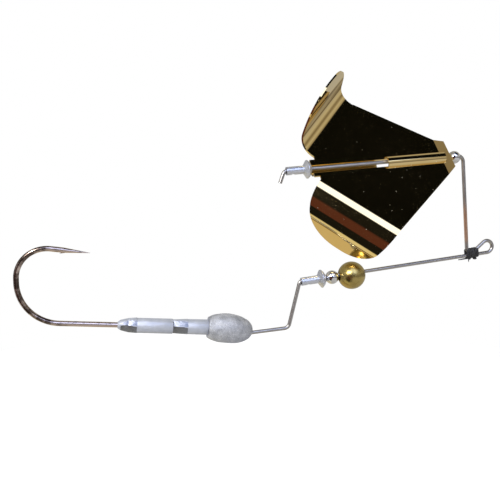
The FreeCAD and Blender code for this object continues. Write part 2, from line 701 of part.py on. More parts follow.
def make_fin(name, side):
    """Fin rolled off the panel along its fold, with a rounded outline."""
    frame = fin_frame(side)
    section = loose_sketch(name + "_section", frame * turn(Y_AXIS, 90) * turn(Z_AXIS, 90))
    draw_bend(section)
    rolled = extrude(name + "_rolled", section, "2 * sizes.corner_a", symmetric=False)
    outline = loose_sketch(name + "_outline", frame * turn(X_AXIS, 90))
    draw_lobe(outline)
    block = extrude(name + "_block", outline, "4 * sizes.fin_height")
    return combine("Part::MultiCommon", name, [rolled, block])


def barrel(name, start, end, side):
    """Half tube pressed out of the panel over the shaft."""
    sizes = {"Radius": "sizes.barrel_radius", "Height": f"({end}) - ({start})"}
    item = primitive("Part::Cylinder", name, sizes)
    item.Angle = 180
    place = shift(measure(start), -measure("sizes.barrel_drop"))
    item.Placement = place * turn(X_AXIS, 90 * (1 - side)) * turn(Y_AXIS, 90) * turn(Z_AXIS, 90)
    return item


def make_blade():
    """Stamped blade: panel, lip, two fins and two half barrels, with a clear way for the shaft."""
    half_gap = "sizes.barrel_gap / 2"
    rear = barrel("rear_barrel", "0 * sizes.nose_a", f"sizes.barrel_split - {half_gap}", -1)
    lip_at = "sizes.nose_a - sizes.lip_long * cos(sizes.lip_tilt)"
    front = barrel("front_barrel", f"sizes.barrel_split + {half_gap}", f"{lip_at} + sizes.sheet_thick", 1)
    inner = "sizes.barrel_radius - sizes.sheet_thick"
    drop = measure("sizes.barrel_drop")
    bore = {"Radius": inner, "Height": f"{lip_at} + sizes.tongue_w"}
    channel = primitive("Part::Cylinder", "channel", bore)
    channel.Placement = shift(-measure("sizes.tongue_w"), -drop) * turn(Y_AXIS, 90)
    drill = {"Radius": "sizes.lip_hole / 2", "Height": "2 * sizes.nose_a"}
    hole = primitive("Part::Cylinder", "shaft_hole", drill)
    hole.Placement = turn(Y_AXIS, 90)
    sheet_metal = combine("Part::MultiFuse", "blade_blank", make_panel() + [
        make_fin("upper_fin", 1),
        make_fin("lower_fin", -1),
        rear,
        front,
    ])
    way = combine("Part::MultiFuse", "shaft_way", [channel, hole])
    place = on_shaft(0, 0) * turn(X_AXIS, 90 - measure("sizes.blade_lean"))
    return label(cut("buzz_blade", sheet_metal, way, place), "buzz_blade")


# ---------------------------------------------------------------- lashing


def tail(name, foot, start, end):
    """Short straight end of thread between two points, given along and above the lashing's foot."""
    first = (foot * shift(start[0], 0, start[1])).Base
    last = (foot * shift(end[0], 0, end[1])).Base
    item = primitive("Part::Cylinder", name, {"Radius": "sizes.tail_dia / 2"})
    item.Height = (last - first).Length
    item.Placement = FreeCAD.Placement(first, FreeCAD.Rotation(Z_AXIS, last - first))
    return item


def make_lashing(wire):
    """Thread bound round the arm and the eye's return leg, with its knot and trimmed ends."""
    reach = "sizes.wire_dia / 2 + sizes.thread_build"
    long = "sizes.lashing_long"
    arm = primitive("Part::Cylinder", "lashing_low", {"Radius": reach, "Height": long})
    leg = primitive("Part::Cylinder", "lashing_high", {"Radius": reach, "Height": long})
    web = primitive("Part::Box", "lashing_web", {
        "Length": long, "Width": f"2 * ({reach})", "Height": "sizes.lashed_pitch"})
    middle = measure("sizes.lashing_x")
    slope = turn(Y_AXIS, -measure("sizes.arm_slope"))
    foot = shift(middle, 0, measure(beside_arm("sizes.lashing_x", "0 * sizes.wire_dia"))) * slope
    back = -measure(long) / 2
    pitch = measure("sizes.lashed_pitch")
    arm.Placement = foot * shift(back) * turn(Y_AXIS, 90)
    leg.Placement = foot * shift(back, 0, pitch) * turn(Y_AXIS, 90)
    web.Placement = foot * shift(back, -measure(reach), 0)
    knot = primitive("Part::Sphere", "lashing_knot", {"Radius": "sizes.knot_radius"})
    knot_low = measure(f"{reach} + sizes.knot_sink")
    knot.Placement = foot * shift(measure("sizes.knot_at"), 0, -knot_low)
    under = measure("sizes.wire_dia / 2 + sizes.tail_dia / 2 + sizes.tail_gap")
    gap = measure("sizes.tail_gap")
    stub = measure("sizes.stub_at")
    lean = measure("sizes.stub_back")
    stub_top = lean - knot_low
    tail_root = back + measure("sizes.tail_overlap")
    tail_tip = back - measure("sizes.tail_long")
    ends = [
        tail("long_tail", foot, (tail_root, -under), (tail_tip, -under - gap)),
        tail("short_tail", foot, (stub, stub_top), (stub - lean, stub_top - measure("sizes.stub_long"))),
    ]
    bound = combine("Part::MultiFuse", "lashing_bound", [arm, leg, web, knot] + ends)
    return label(cut("thread_lashing", bound, wire), "thread_lashing")


# ---------------------------------------------------------------- build, check and write


def check(nodes):
    DOC.recompute()
    failed = [o.Name for o in DOC.Objects if "Invalid" in o.State or "Error" in o.State]
    if failed:
        raise RuntimeError(f"objects that did not build: {failed}")
    for node in nodes:
        shape = node.Shape
        if shape.isNull() or not shape.isValid():
            raise RuntimeError(f"{node.Label} has no valid shape")
        print(f"{node.Label}: {len(shape.Solids)} solid, {shape.Volume:.2f} mm3")


def main():
    wire = make_wire_frame()
    hook = make_hook()
    keeper = make_keeper()
    head = make_head([wire, hook, keeper])
    blade = make_blade()
    lashing = make_lashing(wire)
    nodes = [wire, hook, keeper, head, blade, lashing] + make_turning_pieces()
    check(nodes)
    os.makedirs("parts", exist_ok=True)
    for node in nodes:
        node.Shape.exportStep(f"parts/{node.Label}.step")


main()
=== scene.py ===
# %% [markdown]
# # A buzzbait lure
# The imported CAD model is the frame: it holds the wire, the hook, the leads, the blade and the loose pieces
# in their real places. This script adds what CAD leaves out: the finishes, and the pieces whose shape is
# softer than a CAD solid, which are the cast head, the barbed keeper and the bound thread.

# %% Load the frame
import json
import math
import random

import bmesh
import bpy
from mathutils import Matrix, Vector, noise


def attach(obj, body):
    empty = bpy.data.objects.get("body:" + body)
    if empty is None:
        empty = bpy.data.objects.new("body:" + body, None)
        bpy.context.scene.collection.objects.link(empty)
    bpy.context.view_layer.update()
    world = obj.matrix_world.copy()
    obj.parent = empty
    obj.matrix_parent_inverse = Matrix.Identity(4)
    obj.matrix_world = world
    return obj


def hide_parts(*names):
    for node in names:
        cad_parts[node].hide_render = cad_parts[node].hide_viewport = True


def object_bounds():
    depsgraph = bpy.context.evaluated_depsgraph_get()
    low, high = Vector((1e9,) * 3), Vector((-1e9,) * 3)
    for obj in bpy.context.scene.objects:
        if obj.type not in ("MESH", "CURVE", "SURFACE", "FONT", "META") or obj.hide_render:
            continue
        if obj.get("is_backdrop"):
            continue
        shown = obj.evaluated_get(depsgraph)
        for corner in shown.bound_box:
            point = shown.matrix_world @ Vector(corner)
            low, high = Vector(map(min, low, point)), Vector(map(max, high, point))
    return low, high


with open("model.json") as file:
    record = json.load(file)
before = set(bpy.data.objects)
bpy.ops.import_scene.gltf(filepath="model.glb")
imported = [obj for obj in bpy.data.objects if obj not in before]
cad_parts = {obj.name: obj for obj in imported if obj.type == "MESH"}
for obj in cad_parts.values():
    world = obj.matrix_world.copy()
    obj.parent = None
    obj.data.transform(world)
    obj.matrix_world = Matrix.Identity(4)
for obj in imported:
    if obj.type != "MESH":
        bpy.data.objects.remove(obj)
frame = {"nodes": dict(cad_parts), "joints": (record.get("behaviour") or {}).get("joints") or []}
cad_low, cad_high = (Vector(corner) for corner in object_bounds())
MM = 0.001
dice = random.Random(7)
print("CAD box, mm:", [round(v / MM, 1) for v in cad_high - cad_low])

# %% [markdown]
# ## Shader maths
# A finish is a small calculation over the surface. Wrapping a socket in a class with operators lets that
# calculation be written as a formula, and one method makes every other node.


# %% The signal class
class Signal:
    """A value on a link between shader nodes, which can be used in a formula."""

    def __init__(self, bench, socket):
        self.bench = bench
        self.socket = socket

    def __add__(self, other):
        return self.bench.maths("ADD", self, other)

    def __sub__(self, other):
        return self.bench.maths("SUBTRACT", self, other)

    def __rsub__(self, other):
        return self.bench.maths("SUBTRACT", other, self)

    def __mul__(self, other):
        return self.bench.maths("MULTIPLY", self, other)

    def __truediv__(self, other):
        return self.bench.maths("DIVIDE", self, other)

    __radd__ = __add__
    __rmul__ = __mul__


# %% The node bench
class Bench:
    """Makes nodes in one node tree."""

    def __init__(self, tree):
        self.tree = tree

    def node(self, kind, settings=None, sockets=None, output=0):
        made = self.tree.nodes.new(kind)
        for name, value in (settings or {}).items():
            if name == "stops":
                set_stops(made.color_ramp, value)
            else:
                setattr(made, name, value)
        for name, value in (sockets or {}).items():
            if isinstance(value, Signal):
                self.tree.links.new(value.socket, made.inputs[name])
            else:
                made.inputs[name].default_value = value
        return Signal(self, made.outputs[output])

    def maths(self, operation, first, second=0.0):
        return self.node("ShaderNodeMath", {"operation": operation}, {0: first, 1: second})

    def dot(self, first, second):
        sockets = {0: first, 1: second if isinstance(second, Signal) else tuple(second)}
        return self.node("ShaderNodeVectorMath", {"operation": "DOT_PRODUCT"}, sockets, output="Value")

    def size(self, value):
        """The value without its sign."""
        return self.maths("ABSOLUTE", value)

    def ramp(self, factor, stops):
        return self.node("ShaderNodeValToRGB", {"stops": stops}, {0: factor})

    def span(self, value, low, high, out_low=0.0, out_high=1.0):
        """Smooth step of a value from low to high, as out_low to out_high."""
        ends = {"Value": value, 1: low, 2: high, 3: out_low, 4: out_high}
        return self.node("ShaderNodeMapRange", {"interpolation_type": "SMOOTHSTEP"}, ends)

    def tint(self, factor, first, second):
        """Mix of two colours, each a signal or (red, green, blue)."""
        first, second = (c if isinstance(c, Signal) else (*c, 1.0) for c in (first, second))
        return self.node("ShaderNodeMix", {"data_type": "RGBA"}, {0: factor, 6: first, 7: second}, output=2)

    def bump(self, height, distance, strength=1.0, under=None):
        sockets = {"Height": height, "Distance": distance, "Strength": strength}
        if under is not None:
            sockets["Normal"] = under
        return self.node("ShaderNodeBump", None, sockets)


def set_stops(ramp, stops):
    """Stops are (position, colour)."""
    while len(ramp.elements) < len(stops):
        ramp.elements.new(1.0)
    for element, (position, colour) in zip(ramp.elements, stops):
        element.position = position
        element.color = (*colour, 1.0)


# %% A finish in millimetres
class Finish(Bench):
    """A material on one Principled surface, whose patterns read Object coordinates in millimetres."""

    def __init__(self, name, colour, metallic, roughness):
        self.material = bpy.data.materials.new(name)
        self.material.use_nodes = True
        super().__init__(self.material.node_tree)
        self.surface = self.tree.nodes["Principled BSDF"]
        self.surface.inputs["Base Color"].default_value = (*colour, 1.0)
        self.surface.inputs["Metallic"].default_value = metallic
        self.surface.inputs["Roughness"].default_value = roughness
        place = self.node("ShaderNodeTexCoord", output="Object")
        scale = {0: place, "Scale": 1.0 / MM}
        self.mm = self.node("ShaderNodeVectorMath", {"operation": "SCALE"}, scale)

    def feed(self, **signals):
        """Links signals to the surface's inputs, which are named with _ for a space."""
        for name, signal in signals.items():
            self.tree.links.new(signal.socket, self.surface.inputs[name.replace("_", " ")])

    def noise(self, size, detail=3.0, rough=0.55, stretch=None):
        """Cloudy pattern whose spots are about size millimetres across."""
        vector = self.mm if stretch is None else self.turned(stretch)
        sockets = {"Vector": vector, "Scale": 1.0 / size, "Detail": detail, "Roughness": rough}
        return self.node("ShaderNodeTexNoise", None, sockets)

    def cells(self, size):
        """Distance to the nearest of scattered points, which are about size millimetres apart."""
        return self.node("ShaderNodeTexVoronoi", None, {"Vector": self.mm, "Scale": 1.0 / size})

    def spots(self, size, full, clear):
        """Round spots on scattered points: 1 within full, fading to 0 at clear."""
        return self.span(self.cells(size), full, clear, 1.0, 0.0)

    def turned(self, stretch):
        """Coordinates turned by angles and squeezed, for a pattern with a direction."""
        angles, factors = stretch
        sockets = {"Vector": self.mm, "Rotation": angles, "Scale": factors}
        return self.node("ShaderNodeMapping", {"vector_type": "POINT"}, sockets)

    def along(self, axis):
        """Distance in millimetres from the origin along an axis."""
        return self.dot(self.mm, axis)

    def rings(self, axis, pitch):
        """Turning marks square to an axis, from 0 to 1."""
        wave = self.maths("SINE", self.along(axis) * (2 * math.pi / pitch))
        return wave * 0.5 + 0.5


def repaint(node, finish):
    """Gives a CAD node a better material and leaves its mesh as it is."""
    for material_slot in frame["nodes"][node].material_slots:
        material_slot.material = finish.material
    print(node, "is finished in", finish.material.name)


# %% [markdown]
# ## Directions on the lure
# The blade turns on the upper shaft and the clacker slides on the lower arm. Their directions come from the
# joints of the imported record, so that patterns and new pieces line up with the metal. The blade's own
# directions follow from two angles: how far it leans at rest, and how its fins' fold lines cross the shaft.

# %% Directions from the joints
joints = {joint["name"]: joint for joint in frame["joints"]}
shaft_axis = Vector(joints["blade_spin"]["axis"]).normalized()
shaft_start = Vector(joints["blade_spin"]["pos_m"])
arm_axis = Vector(joints["clacker_bead_spin"]["axis"]).normalized()
print("shaft rises", round(math.degrees(math.asin(shaft_axis.z)), 2), "degrees")

# %% Directions of the blade at rest
# At rest the blade is turned by BLADE_LEAN about the shaft, with its upper wing away from the camera.
# A fold line crosses the shaft's direction at FOLD_ANGLE, in the flat of the blade.
BLADE_LEAN = math.radians(37.7)
FOLD_ANGLE = math.radians(46.75)
across = Vector((0.0, 1.0, 0.0))
upward = shaft_axis.cross(across)
wing_axis = across * math.sin(BLADE_LEAN) + upward * math.cos(BLADE_LEAN)
panel_face = upward * math.sin(BLADE_LEAN) - across * math.cos(BLADE_LEAN)
fold_line = shaft_axis * math.cos(FOLD_ANGLE) - wing_axis * math.sin(FOLD_ANGLE)
fold_out = fold_line.cross(panel_face)
print("the flat of the blade faces", [round(v, 2) for v in panel_face])

# %% [markdown]
# ## Bright metal finishes
# The blade is stamped sheet with a gold mirror finish: it shows what is round it, with a little haze, hair
# lines and dust. The ball is turned brass, so its shine is broken by rings left by the tool. The beads are
# nickel plated, and the rivets are soft aluminium that is full of small dents.
#
# A pressed fin never ends its bend sharply: it keeps curving a little on its way to the edge. A bump can lean
# the shading that way without a new mesh. Its height swells from the flat of the blade down the fin, and it
# changes sign between the outside and the inside of the sheet, so that both sides curve together.

# %% Where the fins roll, in millimetres
# A fold line passes FOLD_AWAY from the blade's centre. The swell reaches ROLL_HEIGHT at ROLL_DEPTH.
FOLD_AWAY = 1.5
FOLD_BLEND = 0.3
SHEET_BLEND = 0.5
ROLL_DEPTH = 11.0
ROLL_HEIGHT = 4.5
print("the swell rises", round(ROLL_HEIGHT / ROLL_DEPTH, 2), "mm in each mm down the fin")


# %% The roll of the fins
def rolled_fins(gold):
    """Soft swell past the fold lines, for the shading of both fins."""
    offset = {0: gold.mm, 1: tuple(shaft_start / MM)}
    from_shaft = gold.node("ShaderNodeVectorMath", {"operation": "SUBTRACT"}, offset)
    depth = gold.size(gold.dot(from_shaft, panel_face))
    wing = gold.size(gold.dot(from_shaft, wing_axis))
    along = gold.size(gold.dot(from_shaft, shaft_axis))
    past_fold = wing * math.cos(FOLD_ANGLE) - along * math.sin(FOLD_ANGLE) - FOLD_AWAY
    normal = gold.node("ShaderNodeTexCoord", output="Normal")
    outside = gold.span(gold.dot(from_shaft, normal), -SHEET_BLEND, SHEET_BLEND, -1.0, 1.0)
    on_fin = gold.span(past_fold, -FOLD_BLEND, FOLD_BLEND)
    swell = gold.span(depth, 0.0, ROLL_DEPTH) * on_fin * outside
    return gold.bump(swell, ROLL_HEIGHT * MM)


# %% Gold finish on the blade
DARK_GOLD = (0.74, 0.54, 0.22)
PALE_GOLD = (0.82, 0.63, 0.31)
# Painted reflection: the lower wing is tinted a warmer orange gold, standing in for warm light it mirrors,
# not a different plating.
WARM_REFLECTION_GOLD = (0.80, 0.47, 0.13)
DUST_COLOUR = (0.85, 0.82, 0.72)
WARM_REFLECTION_FROM = -10.0
HAIR_DIRECTION = ((0.3, 0.5, 0.4), (0.05, 1.6, 1.6))


def make_gold():
    """Mirror with haze, dust in patches, a few grains of grit and fine hair lines, and a painted warm
    reflection: a deeper orange gold on the lower wing.
    """
    gold = Finish("mirror_gold", (0.78, 0.58, 0.26), 1.0, 0.05)
    cloud = gold.noise(9.0, 4.0)
    patchy = gold.span(gold.noise(6.0, 2.0), 0.40, 0.64)
    dust = gold.spots(0.62, 0.05, 0.13) * patchy
    grit = gold.spots(1.9, 0.022, 0.05)
    specks = gold.maths("MAXIMUM", dust * 0.35, grit)
    hair = gold.noise(0.4, 2.0, 0.5, HAIR_DIRECTION)
    hair_lines = gold.span(hair, 0.64, 0.72)
    plate = gold.tint(cloud, DARK_GOLD, PALE_GOLD)
    # Painted reflection: the gold turns warmer towards the lower wing.
    low_wing = gold.span(gold.along(wing_axis), WARM_REFLECTION_FROM, 0.0, 1.0, 0.0)
    gold_with_warm_reflection = gold.tint(low_wing * 0.6, plate, WARM_REFLECTION_GOLD)
    gold.feed(
        Base_Color=gold.tint(specks, gold_with_warm_reflection, DUST_COLOUR),
        Metallic=1.0 - 0.75 * specks,
        Roughness=0.025 + 0.045 * cloud + 0.35 * specks + 0.08 * hair_lines,
        Normal=gold.bump(hair + specks, 0.0015 * MM, 0.5, rolled_fins(gold)),
    )
    return gold


repaint("buzz_blade", make_gold())


# %% Turned brass on the ball
DULL_BRASS = (0.33, 0.24, 0.07)
BRIGHT_BRASS = (0.56, 0.43, 0.16)
COARSE_RING = 0.42
FINE_RING = 0.11


def make_brass():
    """Brass with coarse and fine rings of the lathe tool, square to the ball's hole."""
    brass = Finish("turned_brass", (0.50, 0.38, 0.12), 1.0, 0.24)
    rings = brass.rings(arm_axis, COARSE_RING)
    fine = brass.rings(arm_axis, FINE_RING)
    cloud = brass.noise(1.6, 4.0)
    brass.feed(
        Base_Color=brass.tint(cloud, DULL_BRASS, BRIGHT_BRASS),
        Roughness=0.15 + 0.16 * cloud + 0.06 * fine,
        Normal=brass.bump(rings * 0.6 + fine * 0.4 + brass.noise(0.8) * 0.8, 0.012 * MM, 0.8),
    )
    return brass


repaint("clacker_ball", make_brass())


# %% Nickel on the beads
NICKEL_SHADES = ((0.66, 0.65, 0.65), (0.80, 0.79, 0.78))


def make_nickel():
    """Polished plate with a faint haze."""
    nickel = Finish("bead_nickel", (0.74, 0.73, 0.72), 1.0, 0.07)
    haze = nickel.noise(0.7, 3.0)
    nickel.feed(
        Base_Color=nickel.tint(haze, *NICKEL_SHADES),
        Roughness=0.04 + 0.12 * haze,
        Normal=nickel.bump(nickel.noise(0.5, 2.0), 0.004 * MM, 0.5),
    )
    return nickel


nickel_finish = make_nickel()
for bead in ("front_bead", "clacker_bead"):
    repaint(bead, nickel_finish)

# %% Aluminium on the rivets
ALUMINIUM_SHADES = ((0.55, 0.58, 0.66), (0.86, 0.87, 0.91))


def make_aluminium():
    """Soft metal, tumbled until it is scuffed and dented all over."""
    soft = Finish("rivet_aluminium", (0.80, 0.81, 0.84), 1.0, 0.34)
    dents = soft.span(soft.cells(0.75), 0.1, 0.55)
    scuffs = soft.noise(0.35, 4.0)
    soft.feed(
        Base_Color=soft.tint(scuffs, *ALUMINIUM_SHADES),
        Roughness=0.30 + 0.2 * scuffs,
        Normal=soft.bump(dents + scuffs * 0.6, 0.05 * MM, 0.8),
    )
    return soft


aluminium_finish = make_aluminium()
for rivet in ("rear_rivet", "clacker_rivet"):
    repaint(rivet, aluminium_finish)

# %% [markdown]
# ## Wire, hook and lead
# The frame is drawn stainless wire: bright, with fine lines and a faint warm tint low on the upright, which
# is a painted warm reflection. The hook is bronzed, and darker round the bend than along the shank. The head
# is bare cast lead, which takes the grain of its mould, with painted bluish shade on its underside, and the
# keeper on the shank is smoother and brighter.


# %% Drawn wire
FORWARD = Vector((1.0, 0.0, 0.0))
UP = Vector((0.0, 0.0, 1.0))
STEEL_SHADES = ((0.37, 0.35, 0.33), (0.54, 0.51, 0.48))
# Painted reflection: a warm tint placed low on the upright.
WIRE_WARM_REFLECTION = (0.80, 0.46, 0.28)
WIRE_LINES = ((0.0, -0.1, 0.0), (0.12, 1.4, 1.0))
# The painted warm reflection fades in and out over these distances from the line tie, in millimetres.
WIRE_REFLECTION_HEIGHTS = ((0.5, 3.0), (9.0, 15.0))
WIRE_REFLECTION_FORWARD = ((-14.0, -12.0), (-6.2, -5.4))


def between(finish, value, fade_in, fade_out):
    """1 between two fades and 0 outside them."""
    return finish.span(value, *fade_in) * finish.span(value, *fade_out, 1.0, 0.0)


def make_wire_finish():
    """Bright steel with fine lines along the arm, and a painted warm reflection low on the upright."""
    wire = Finish("drawn_stainless", (0.56, 0.55, 0.54), 1.0, 0.2)
    lines = wire.noise(0.22, 3.0, 0.6, WIRE_LINES)
    cloud = wire.noise(3.0, 3.0)
    # Painted reflection: the warm tint is laid where the upright is low.
    low_upright = between(wire, wire.along(UP), *WIRE_REFLECTION_HEIGHTS)
    warm_reflection_mask = low_upright * between(wire, wire.along(FORWARD), *WIRE_REFLECTION_FORWARD)
    steel = wire.tint(cloud, *STEEL_SHADES)
    wire.feed(
        Base_Color=wire.tint(warm_reflection_mask * 0.75, steel, WIRE_WARM_REFLECTION),
        Roughness=0.24 + 0.16 * lines + 0.08 * cloud,
        Normal=wire.bump(lines, 0.008 * MM, 0.7),
    )
    return wire


repaint("wire_frame", make_wire_finish())


# %% Bronzed hook
BRONZE_SHADES = ((0.115, 0.085, 0.07), (0.62, 0.50, 0.43))
HOOK_BEND = (-128.0, -118.0)


def make_hook_finish():
    """Dark bronzing with worn patches, and brighter along the shank than round the bend."""
    bronze = Finish("bronzed_hook", (0.30, 0.24, 0.20), 1.0, 0.16)
    wear = bronze.noise(2.2, 5.0, 0.6)
    # Darker round the bend and brighter along the shank, set by position along the hook.
    back = bronze.span(bronze.along(FORWARD), *HOOK_BEND, 1.0, 0.0)
    wear_and_bend_tone = bronze.span(wear + 0.16 * (1.0 - back), 0.42, 0.66)
    bronze.feed(
        Base_Color=bronze.tint(wear_and_bend_tone, *BRONZE_SHADES),
        Roughness=0.11 + 0.14 * wear,
        Normal=bronze.bump(bronze.noise(0.4, 4.0), 0.01 * MM, 0.6),
    )
    return bronze


repaint("hook", make_hook_finish())


# %% Cast lead
CAST_SHADES = ((0.24, 0.25, 0.28), (0.76, 0.77, 0.81))
# Painted shade: a blue tint on the head's underside.
PAINTED_UNDERSIDE_BLUE = (0.36, 0.40, 0.52)
HEAD_UNDERSIDE = (-25.5, -21.5)


def make_lead():
    """Grainy lead with pits from the mould, and painted bluish shade on its underside."""
    lead = Finish("cast_lead", (0.5, 0.51, 0.53), 0.6, 0.5)
    grain = lead.noise(0.2, 5.0, 0.7)
    swell = lead.noise(2.6, 3.0)
    pits = lead.span(lead.cells(0.45), 0.06, 0.32)
    shade = lead.span(swell * 0.5 + grain, 0.5, 1.0)
    # Painted shade: the tint is strongest where the head is lowest.
    low = lead.span(lead.along(UP), *HEAD_UNDERSIDE, 1.0, 0.0)
    metal = lead.tint(shade, *CAST_SHADES)
    lead.feed(
        Base_Color=lead.tint(low * 0.55, metal, PAINTED_UNDERSIDE_BLUE),
        Roughness=0.42 + 0.26 * grain,
        Normal=lead.bump(grain + 0.6 * pits, 0.13 * MM, 1.0),
    )
    return lead


# %% Sliced lead
# Painted shade: the sliced flats get a darker base colour on top of their real shine.
CUT_PAINTED_DARK_SHADES = ((0.10, 0.105, 0.12), (0.42, 0.43, 0.47))
CUT_DRAG = ((0.0, 0.9, 0.5), (0.3, 1.4, 1.4))


def make_cut_lead():
    """Lead where a blade has sliced it: smooth and shiny, so it mirrors the room, with painted shade in a
    darker base colour.
    """
    lead = Finish("cut_lead", (0.34, 0.35, 0.39), 0.9, 0.3)
    drag = lead.noise(0.25, 3.0, 0.6, CUT_DRAG)
    lead.feed(
        Base_Color=lead.tint(drag, *CUT_PAINTED_DARK_SHADES),
        Roughness=0.24 + 0.2 * drag,
        Normal=lead.bump(drag, 0.07 * MM, 0.9),
    )
    return lead


# %% Lead of the keeper
KEEPER_SHADES = ((0.40, 0.43, 0.51), (0.60, 0.62, 0.68))
KEEPER_DRAG = ((0.0, 0.08, 0.0), (0.3, 1.2, 1.2))


def make_keeper_lead():
    """Smoother lead, with marks drawn out along the shank."""
    lead = Finish("keeper_lead", (0.62, 0.63, 0.66), 0.45, 0.5)
    drag = lead.noise(0.45, 4.0, 0.6, KEEPER_DRAG)
    swell = lead.noise(1.6, 3.0)
    lead.feed(
        Base_Color=lead.tint(swell, *KEEPER_SHADES),
        Roughness=0.40 + 0.22 * drag,
        Normal=lead.bump(drag + swell, 0.10 * MM, 0.9),
    )
    return lead


# %% Helpers that join bmeshes and finish a piece
def join_part(mesh, part):
    """Adds a part to a mesh and frees the part."""
    data = bpy.data.meshes.new("part")
    part.to_mesh(data)
    part.free()
    mesh.from_mesh(data)
    bpy.data.meshes.remove(data)


def smooth(mesh):
    """Shades every face of a mesh smoothly."""
    for face in mesh.faces:
        face.smooth = True


def add_piece(mesh, name, body, node, finish):
    """Makes an object that stands for a CAD node and rides on its body."""
    bmesh.ops.recalc_face_normals(mesh, faces=mesh.faces[:])
    data = bpy.data.meshes.new(name)
    mesh.to_mesh(data)
    mesh.free()
    data.materials.append(finish.material)
    piece = bpy.data.objects.new(name, data)
    bpy.context.scene.collection.objects.link(piece)
    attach(piece, body)
    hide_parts(node)
    print(name, "has", len(data.polygons), "faces")
    return piece


# %% [markdown]
# ## The cast head
# The head is an egg cast in a two-part mould: blunt at the nose, cut flat behind, flat underneath and full
# at its lower front, with a faint ridge where the mould halves met. A sphere is stretched into the egg, and
# planes slice the flats, as the mould's own flat faces did. Small lumps keep it from looking turned.

# %% Sizes of the head
HEAD_AT = Vector((-79.8, 0.0, -20.84)) * MM
HEAD_SLOPE = math.radians(7.0)
HEAD_RADIUS = 4.1 * MM
HEAD_NOSE = 7.5 * MM
HEAD_TAIL = 7.0 * MM
HEAD_BACK = 5.1 * MM
HEAD_FLAT = 3.62 * MM
HEAD_FULL = 0.09
HEAD_RIM = 0.35 * MM
SEAM_HEIGHT = 0.07 * MM
SEAM_WIDTH = 0.16 * MM
LUMP_HEIGHT = 0.05 * MM
LUMP_SIZE = 1.1 * MM
print("head, mm:", round((HEAD_BACK + HEAD_NOSE) / MM, 1), "long", round(2 * HEAD_RADIUS / MM, 1), "across")


# %% Slice a mesh and close the cut
def slice_off(mesh, place, direction):
    """Removes what lies beyond a plane and closes the cut with a flat face."""
    geometry = mesh.verts[:] + mesh.edges[:] + mesh.faces[:]
    cut = bmesh.ops.bisect_plane(
        mesh, geom=geometry, dist=1e-7, plane_co=place, plane_no=direction, clear_outer=True,
    )["geom_cut"]
    return bmesh.ops.contextual_create(mesh, geom=edges_of(cut))["faces"]


def edges_of(items):
    return [item for item in items if isinstance(item, bmesh.types.BMEdge)]


def round_edges(mesh, edges, width, segments):
    """Rounds edges a little."""
    bmesh.ops.bevel(
        mesh, geom=edges, offset=width, segments=segments, profile=0.5, affect="EDGES",
        material=-1, clamp_overlap=True,
    )


# %% Shape the head
def shape_egg(mesh):
    """Stretches a unit sphere into the egg, fuller at the lower front."""
    for vertex in mesh.verts:
        co = vertex.co
        length = HEAD_NOSE if co.x > 0 else HEAD_TAIL
        full = 1.0 + HEAD_FULL * max(0.0, co.x) * max(0.0, -co.z)
        co.x, co.y, co.z = co.x * length * full, co.y * HEAD_RADIUS, co.z * HEAD_RADIUS * full


def roughen(mesh):
    """Lumps of a cast surface, and the mould's parting ridge in the plane of the wire."""
    mesh.normal_update()
    for vertex in mesh.verts:
        lump = noise.noise(vertex.co / LUMP_SIZE) * LUMP_HEIGHT
        ridge = SEAM_HEIGHT * math.exp(-(vertex.co.y / SEAM_WIDTH) ** 2)
        vertex.co += vertex.normal * (lump + ridge)


def make_head():
    """The egg with its two flats, in its place on the wire."""
    mesh = bmesh.new()
    facing = Matrix.Rotation(math.pi / 2, 4, "Y")
    bmesh.ops.create_uvsphere(mesh, u_segments=144, v_segments=96, radius=1.0, matrix=facing)
    shape_egg(mesh)
    back = slice_off(mesh, Vector((-HEAD_BACK, 0.0, 0.0)), Vector((-1.0, 0.0, 0.0)))
    under = slice_off(mesh, Vector((0.0, 0.0, -HEAD_FLAT)), Vector((0.0, 0.0, -1.0)))
    rims = list({edge for face in back + under if face.is_valid for edge in face.edges})
    round_edges(mesh, rims, HEAD_RIM, 3)
    roughen(mesh)
    place = Matrix.Translation(HEAD_AT) @ Matrix.Rotation(HEAD_SLOPE, 4, "Y")
    bmesh.ops.transform(mesh, matrix=place, verts=mesh.verts[:])
    smooth(mesh)
    add_piece(mesh, "cast_lead_head", "frame", "lead_head", make_lead())


make_head()

# %% [markdown]
# ## The keeper on the shank
# The keeper is a lead sleeve with two barbs that face the head, so that a soft trailer slides on and stays.
# Each barb was sliced to two flats on either side, which deepen towards the bend. It is built the same way:
# short turned lengths, a few of them sliced, set end to end along the shank.

# %% Sizes of the keeper
HOOK_EYE = Vector((-81.6, 0.0, -20.5)) * MM
SHANK_SLOPE = math.radians(4.51)
KEEPER_SIDES = 72
KEEPER_RIM = 0.06 * MM
RIM_ANGLE = math.radians(12.0)
# A length of keeper: from, to (mm behind the hook eye), radius at each end (mm), whether it is sliced.
KEEPER_LENGTHS = [
    (3.3, 8.9, 2.10, 2.04, False),
    (8.9, 12.9, 2.10, 1.86, True),
    (12.9, 22.4, 2.03, 2.01, False),
    (22.4, 24.6, 2.10, 1.88, True),
    (24.6, 26.6, 1.88, 1.40, True),
    (26.6, 27.4, 1.40, 0.85, False),
]
# A slice: its angle round the shank (degrees), its distance from the shank's centre at the barb's
# start (mm), and its slope towards the shank (degrees).
SLICES = [(-24.0, 1.92, 10.0), (30.0, 1.98, 7.0), (-156.0, 1.92, 10.0), (150.0, 1.98, 7.0)]
print("keeper, mm:", round(KEEPER_LENGTHS[-1][1] - KEEPER_LENGTHS[0][0], 1), "long")


